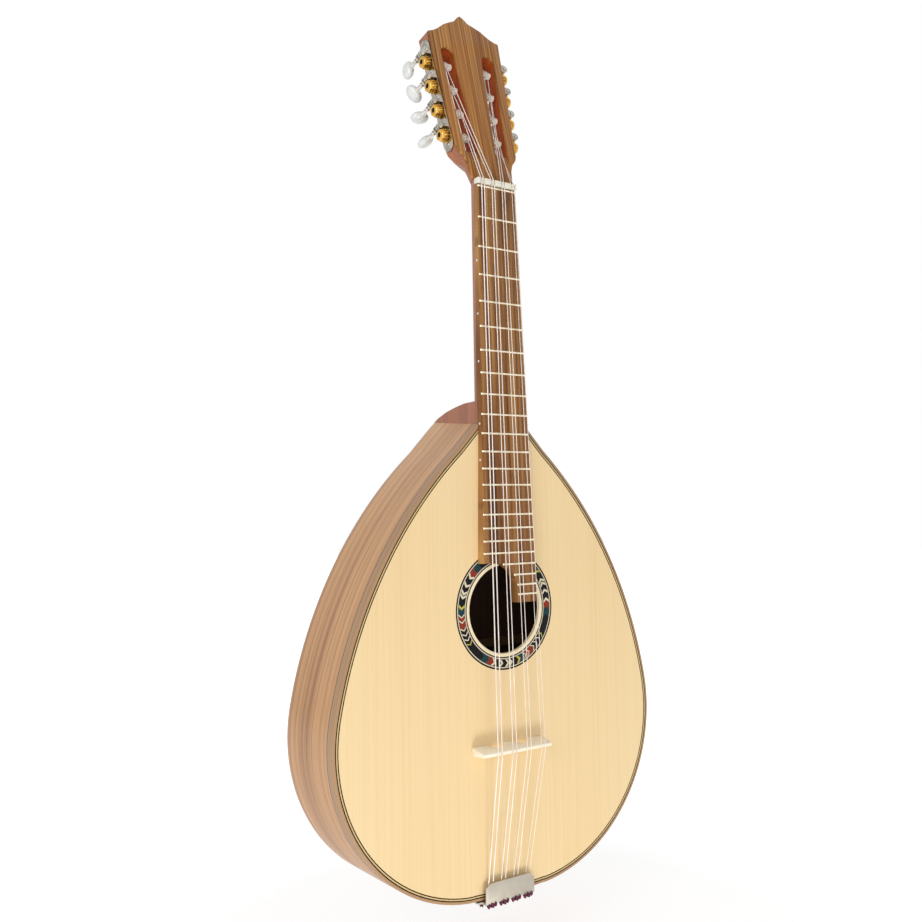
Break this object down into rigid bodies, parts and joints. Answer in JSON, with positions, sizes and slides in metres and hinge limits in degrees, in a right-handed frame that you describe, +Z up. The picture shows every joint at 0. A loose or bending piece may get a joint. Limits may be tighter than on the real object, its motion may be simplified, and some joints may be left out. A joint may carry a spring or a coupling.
{
  "type": "bandola",
  "caption": "Teardrop flat-backed plucked instrument with paired strings, a floating arched bridge, a hooked tailpiece and a slotted head with worm-geared tuners.",
  "frame": {"origin": "On the centre line at the zero fret, level with the front face of the soundboard.", "axes": "+Z runs up the neck towards the head, +X is the treble side, the soundboard faces -Y."},
  "size_m": [0.3212, 0.0922, 0.7485],
  "materials": {
    "spruce": "satin lacquered spruce",
    "walnut": "lacquered reddish-brown figured wood",
    "maple": "lacquered edge binding",
    "lining": "raw inner wood",
    "cedar": "satin reddish neck wood",
    "head_walnut": "satin head veneer",
    "fingerboard": "oiled striped fingerboard wood with fret wires",
    "marquetry": "lacquered inlay of small wood pieces",
    "bone": "polished bone or bone substitute",
    "bone_maple": "bare pale wood",
    "nickel": "nickel plated sheet",
    "steel": "turned steel, plated",
    "brass": "cut brass gear",
    "pearl": "pearl-look tuner button",
    "wire": "plain and wound music wire"
  },
  "bodies": {
    "body": {"soundboard": "spruce", "back_plate": "walnut", "rib_bass": "walnut", "rib_treble": "walnut", "binding": "maple", "front_lining_and_bars": "lining", "back_lining_and_bars": "lining", "tail_block": "lining", "neck": "cedar", "tailpiece": "nickel", "tailpiece_screw_bass": "nickel", "tailpiece_screw_treble": "nickel", "rosette": "marquetry", "fretboard": "fingerboard", "nut": "bone", "head_veneer": "head_walnut", "machine_plate_bass": "nickel", "machine_plate_treble": "nickel", "string_1": "wire", "string_2": "wire", "string_3": "wire", "string_4": "wire", "string_5": "wire", "string_6": "wire", "string_7": "wire", "string_8": "wire"},
    "bridge": {"bridge": "bone_maple"},
    "worm_bass_1": {"worm_shaft_bass_1": "steel", "button_bass_1": "pearl"},
    "spindle_bass_1": {"gear_bass_1": "brass", "roller_bass_1": "steel"},
    "worm_bass_2": {"worm_shaft_bass_2": "steel", "button_bass_2": "pearl"},
    "spindle_bass_2": {"gear_bass_2": "brass", "roller_bass_2": "steel"},
    "worm_bass_3": {"worm_shaft_bass_3": "steel", "button_bass_3": "pearl"},
    "spindle_bass_3": {"gear_bass_3": "brass", "roller_bass_3": "steel"},
    "worm_bass_4": {"worm_shaft_bass_4": "steel", "button_bass_4": "pearl"},
    "spindle_bass_4": {"gear_bass_4": "brass", "roller_bass_4": "steel"},
    "worm_treble_1": {"worm_shaft_treble_1": "steel", "button_treble_1": "pearl"},
    "spindle_treble_1": {"gear_treble_1": "brass", "roller_treble_1": "steel"},
    "worm_treble_2": {"worm_shaft_treble_2": "steel", "button_treble_2": "pearl"},
    "spindle_treble_2": {"gear_treble_2": "brass", "roller_treble_2": "steel"},
    "worm_treble_3": {"worm_shaft_treble_3": "steel", "button_treble_3": "pearl"},
    "spindle_treble_3": {"gear_treble_3": "brass", "roller_treble_3": "steel"},
    "worm_treble_4": {"worm_shaft_treble_4": "steel", "button_treble_4": "pearl"},
    "spindle_treble_4": {"gear_treble_4": "brass", "roller_treble_4": "steel"}
  },
  "joints": [
    {"name": "bridge_slide", "type": "slide", "parent": "body", "child": "bridge", "axis": [0, 0, 1], "range_m": [-0.001, 0.004]},
    {"name": "button_turn_bass_1", "type": "hinge", "parent": "body", "child": "worm_bass_1", "pos_m": [-0.03853, 0.02738, 0.05298], "axis": [0, 0.967, -0.2548], "continuous": true},
    {"name": "roller_turn_bass_1", "type": "hinge", "parent": "body", "child": "spindle_bass_1", "pos_m": [-0.03283, 0.02537, 0.04534], "axis": [-0.9973, -0.0187, -0.0708], "continuous": true},
    {"name": "button_turn_bass_2", "type": "hinge", "parent": "body", "child": "worm_bass_2", "pos_m": [-0.04023, 0.03327, 0.07535], "axis": [0, 0.967, -0.2548], "continuous": true},
    {"name": "roller_turn_bass_2", "type": "hinge", "parent": "body", "child": "spindle_bass_2", "pos_m": [-0.03453, 0.03126, 0.06771], "axis": [-0.9973, -0.0187, -0.0708], "continuous": true},
    {"name": "button_turn_bass_3", "type": "hinge", "parent": "body", "child": "worm_bass_3", "pos_m": [-0.04193, 0.03917, 0.09773], "axis": [0, 0.967, -0.2548], "continuous": true},
    {"name": "roller_turn_bass_3", "type": "hinge", "parent": "body", "child": "spindle_bass_3", "pos_m": [-0.03623, 0.03716, 0.09008], "axis": [-0.9973, -0.0187, -0.0708], "continuous": true},
    {"name": "button_turn_bass_4", "type": "hinge", "parent": "body", "child": "worm_bass_4", "pos_m": [-0.04362, 0.04506, 0.1201], "axis": [0, 0.967, -0.2548], "continuous": true},
    {"name": "roller_turn_bass_4", "type": "hinge", "parent": "body", "child": "spindle_bass_4", "pos_m": [-0.03793, 0.04305, 0.11246], "axis": [-0.9973, -0.0187, -0.0708], "continuous": true},
    {"name": "button_turn_treble_1", "type": "hinge", "parent": "body", "child": "worm_treble_1", "pos_m": [0.03723, 0.02829, 0.05642], "axis": [0, 0.967, -0.2548], "continuous": true},
    {"name": "roller_turn_treble_1", "type": "hinge", "parent": "body", "child": "spindle_treble_1", "pos_m": [0.03176, 0.02623, 0.04863], "axis": [0.999, -0.0116, -0.0439], "continuous": true},
    {"name": "button_turn_treble_2", "type": "hinge", "parent": "body", "child": "worm_treble_2", "pos_m": [0.03828, 0.03419, 0.07883], "axis": [0, 0.967, -0.2548], "continuous": true},
    {"name": "roller_turn_treble_2", "type": "hinge", "parent": "body", "child": "spindle_treble_2", "pos_m": [0.03281, 0.03214, 0.07104], "axis": [0.999, -0.0116, -0.0439], "continuous": true},
    {"name": "button_turn_treble_3", "type": "hinge", "parent": "body", "child": "worm_treble_3", "pos_m": [0.03934, 0.0401, 0.10124], "axis": [0, 0.967, -0.2548], "continuous": true},
    {"name": "roller_turn_treble_3", "type": "hinge", "parent": "body", "child": "spindle_treble_3", "pos_m": [0.03386, 0.03804, 0.09345], "axis": [0.999, -0.0116, -0.0439], "continuous": true},
    {"name": "button_turn_treble_4", "type": "hinge", "parent": "body", "child": "worm_treble_4", "pos_m": [0.04039, 0.046, 0.12365], "axis": [0, 0.967, -0.2548], "continuous": true},
    {"name": "roller_turn_treble_4", "type": "hinge", "parent": "body", "child": "spindle_treble_4", "pos_m": [0.03492, 0.04395, 0.11586], "axis": [0.999, -0.0116, -0.0439], "continuous": true}
  ],
  "couplings": [
    {"joint": "roller_turn_bass_1", "follows": "button_turn_bass_1", "ratio": 0.071429},
    {"joint": "roller_turn_bass_2", "follows": "button_turn_bass_2", "ratio": 0.071429},
    {"joint": "roller_turn_bass_3", "follows": "button_turn_bass_3", "ratio": 0.071429},
    {"joint": "roller_turn_bass_4", "follows": "button_turn_bass_4", "ratio": 0.071429},
    {"joint": "roller_turn_treble_1", "follows": "button_turn_treble_1", "ratio": 0.071429},
    {"joint": "roller_turn_treble_2", "follows": "button_turn_treble_2", "ratio": 0.071429},
    {"joint": "roller_turn_treble_3", "follows": "button_turn_treble_3", "ratio": 0.071429},
    {"joint": "roller_turn_treble_4", "follows": "button_turn_treble_4", "ratio": 0.071429}
  ]
}
